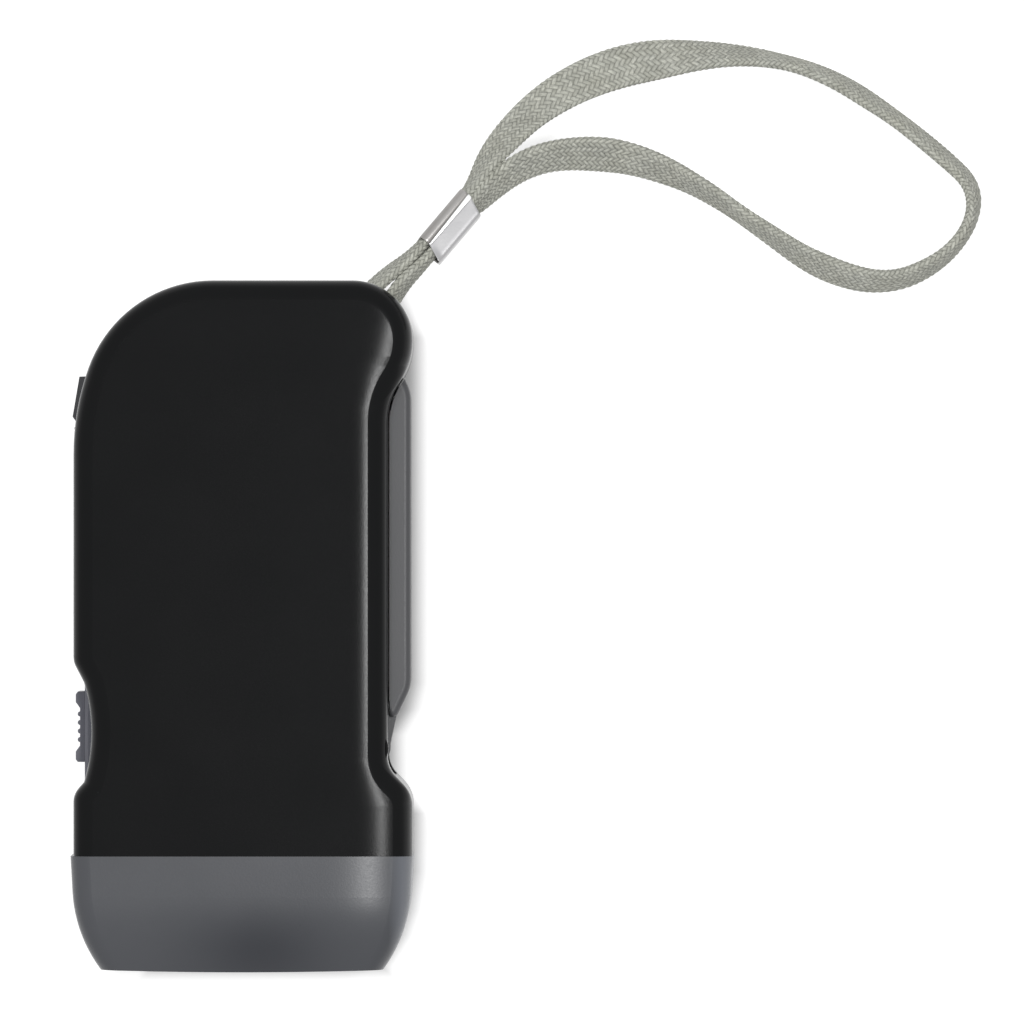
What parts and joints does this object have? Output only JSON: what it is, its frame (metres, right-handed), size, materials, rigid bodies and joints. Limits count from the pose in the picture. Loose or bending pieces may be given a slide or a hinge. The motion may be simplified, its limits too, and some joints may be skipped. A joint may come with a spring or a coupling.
{
  "type": "squeeze lever dynamo torch",
  "caption": "Squeeze-lever dynamo torch with a smoke head cover, side lever, lock, slide switch and a braided wrist strap.",
  "frame": {"origin": "middle of the flat back, under the middle of the torch without its strap, on the surface it lies on", "axes": "+Y from the lamp end to the strap end, +Z from the back to the front face, +X towards the squeeze lever"},
  "size_m": [0.1381, 0.1404, 0.028],
  "materials": {
    "case_black": "moulded black plastic, fine matt texture",
    "smoke_hood": "translucent smoke plastic",
    "clear_lens": "clear moulded lens",
    "reflector_chrome": "vacuum-metallised plastic",
    "led_epoxy": "clear epoxy lamp",
    "circuit_board": "green solder mask",
    "board_parts": "moulded component bodies",
    "lever_grey": "moulded grey plastic",
    "switch_grey": "moulded grey plastic",
    "steel": "bright steel",
    "screw_steel": "zinc plated screw",
    "gear_white": "natural acetal",
    "magnet": "sintered ferrite",
    "yoke_iron": "stamped laminations",
    "bobbin": "moulded nylon",
    "bridge_black": "moulded black plastic",
    "copper": "enamelled copper wire",
    "cell_wrap": "nickel button cells",
    "lace": "flat braided polyester lace, light grey",
    "ferrule_steel": "folded plated sheet"
  },
  "bodies": {
    "torch": {"front_case": "case_black", "back_case": "case_black", "head_cover": "smoke_hood", "lens": "clear_lens", "reflector": "reflector_chrome", "leds": "led_epoxy", "led_board": "circuit_board", "main_board": "circuit_board", "board_parts": "board_parts", "switch_plate": "switch_grey", "lever_pin": "steel", "drive_axle": "steel", "idler_axle": "steel", "rotor_axle": "steel", "lever_spring": "steel", "slide_switch": "steel", "cell_contacts": "steel", "case_screws": "screw_steel", "bridge_screws": "screw_steel", "stator_yoke": "yoke_iron", "coil_bobbin": "bobbin", "board_posts": "bobbin", "bridge_plate": "bridge_black", "coil": "copper", "battery_cells": "cell_wrap", "strap": "lace", "ferrule": "ferrule_steel"},
    "lever": {"lever": "lever_grey"},
    "drive_train": {"drive_pinion": "gear_white", "drive_gear": "gear_white", "ratchet_pawls": "gear_white"},
    "idler": {"idler_gear": "gear_white"},
    "rotor": {"rotor_hub": "gear_white", "ring_magnet": "magnet", "flywheel": "steel"},
    "lock": {"lock_slider": "lever_grey"},
    "power_switch": {"power_knob": "switch_grey", "switch_actuator": "gear_white"}
  },
  "joints": [
    {"name": "lever_hinge", "type": "hinge", "parent": "torch", "child": "lever", "pos_m": [0.019, -0.0185, 0.014], "axis": [0, 0, -1], "range_deg": [0, 26]},
    {"name": "drive_gear_spin", "type": "hinge", "parent": "torch", "child": "drive_train", "pos_m": [0.00739, 0.02807, 0.014], "axis": [0, 0, -1], "continuous": true},
    {"name": "idler_gear_spin", "type": "hinge", "parent": "torch", "child": "idler", "pos_m": [0.00051, 0.01824, 0.014], "axis": [0, 0, -1], "continuous": true},
    {"name": "rotor_spin", "type": "hinge", "parent": "torch", "child": "rotor", "pos_m": [-0.00475, 0.00915, 0.014], "axis": [0, 0, -1], "continuous": true},
    {"name": "lock_slide", "type": "slide", "parent": "torch", "child": "lock", "axis": [0, -1, 0], "range_m": [0, 0.0045]},
    {"name": "power_switch_slide", "type": "slide", "parent": "torch", "child": "power_switch", "axis": [0, -1, 0], "range_m": [0, 0.0025]}
  ],
  "couplings": [
    {"joint": "drive_gear_spin", "follows": "lever_hinge", "ratio": 13},
    {"joint": "idler_gear_spin", "follows": "lever_hinge", "ratio": -39},
    {"joint": "rotor_spin", "follows": "lever_hinge", "ratio": 97.5}
  ]
}
